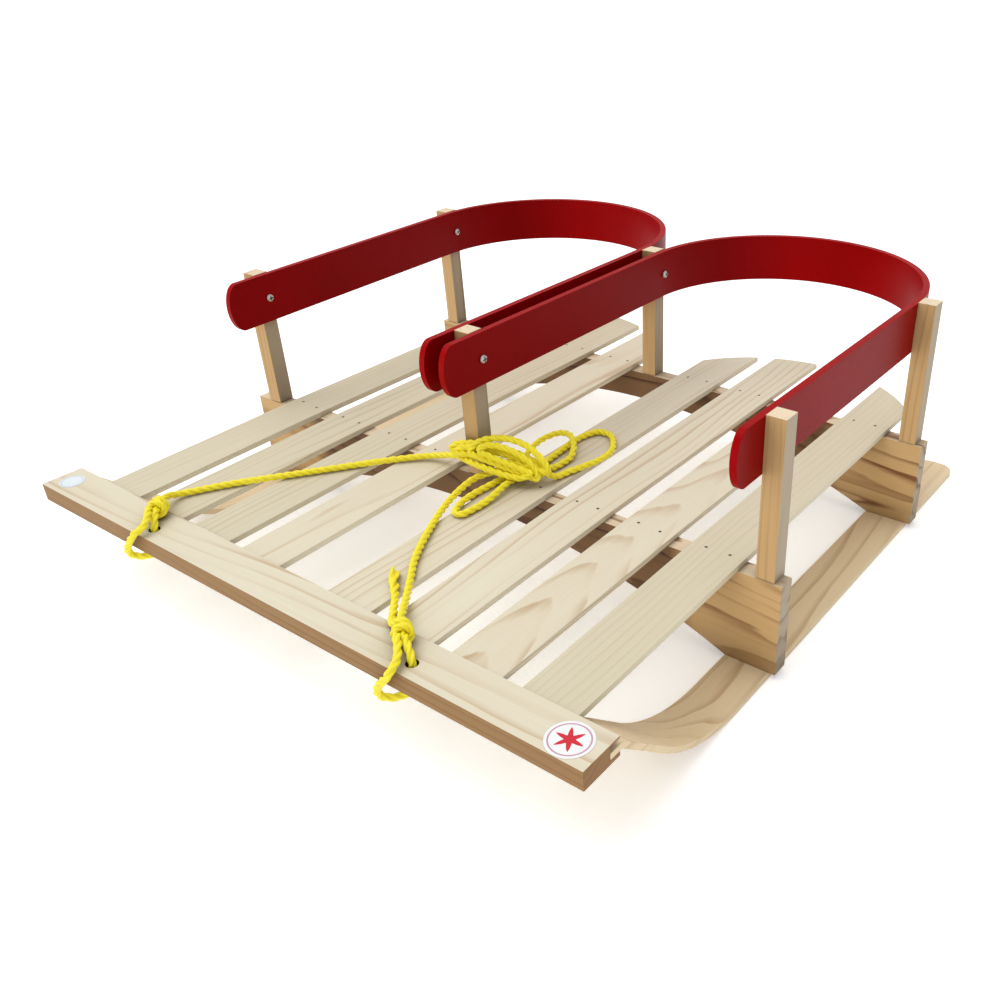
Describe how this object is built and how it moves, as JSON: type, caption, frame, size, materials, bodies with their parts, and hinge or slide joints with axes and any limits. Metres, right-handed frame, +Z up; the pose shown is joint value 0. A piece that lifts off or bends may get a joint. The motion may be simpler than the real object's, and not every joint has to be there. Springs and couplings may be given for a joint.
{
  "type": "two-seat wooden baby sleigh",
  "caption": "Wide wooden sleigh with slatted seats side by side, bent-strip back rails on square posts, thin upturned runners on arched bunks, and a knotted tow rope.",
  "frame": {"origin": "on the ground, under the middle of the sleigh's own box (the tow rope left out)", "axes": "+Z up, -Y towards the front crossbar where the tow rope is tied, +X towards the left side of a child sitting in it"},
  "size_m": [0.726, 0.7751, 0.2635],
  "materials": {
    "pine": "planed, thin clear lacquer, pale cream with straight tan grain",
    "ash_strip": "steam-bent strip, smooth, beige with long darker streaks",
    "boards": "sawn and planed face grain, warm tan",
    "dowel": "turned, bare",
    "red_paint": "deep red enamel on bent wood strip, soft gloss",
    "steel": "zinc plated, bright",
    "label": "white printed paper disc, satin",
    "rope": "yellow twisted polypropylene, slight sheen"
  },
  "bodies": {
    "root": {"back_rail_left": "red_paint", "back_rail_right": "red_paint", "bunk_front": "boards", "bunk_rear": "boards", "dowel_front_left": "dowel", "dowel_front_middle": "dowel", "dowel_front_right": "dowel", "dowel_rear_left": "dowel", "dowel_rear_middle": "dowel", "dowel_rear_right": "dowel", "front_crossbar": "pine", "label_left": "label", "label_right": "label", "post_front_left": "boards", "post_front_middle": "boards", "post_front_right": "boards", "post_rear_left": "boards", "post_rear_middle": "boards", "post_rear_right": "boards", "rail_screw_front_left": "steel", "rail_screw_front_middle_1": "steel", "rail_screw_front_middle_2": "steel", "rail_screw_front_right": "steel", "rail_screw_rear_left": "steel", "rail_screw_rear_middle_1": "steel", "rail_screw_rear_middle_2": "steel", "rail_screw_rear_right": "steel", "rope_bow_loop_front": "rope", "rope_bow_loop_middle": "rope", "rope_bow_loop_rear": "rope", "rope_hank": "rope", "rope_knot_left": "rope", "rope_knot_right": "rope", "rope_lead_left": "rope", "rope_lead_right": "rope", "rope_loop_left": "rope", "rope_loop_right": "rope", "rope_tail_left": "rope", "rope_tail_right": "rope", "runner_left": "ash_strip", "runner_right": "ash_strip", "runner_screw_left_1": "steel", "runner_screw_left_2": "steel", "runner_screw_left_3": "steel", "runner_screw_left_4": "steel", "runner_screw_right_1": "steel", "runner_screw_right_2": "steel", "runner_screw_right_3": "steel", "runner_screw_right_4": "steel", "slat_1": "pine", "slat_2": "pine", "slat_3": "pine", "slat_4": "pine", "slat_5": "pine", "slat_6": "pine", "slat_7": "pine", "slat_8": "pine"}
  },
  "joints": []
}
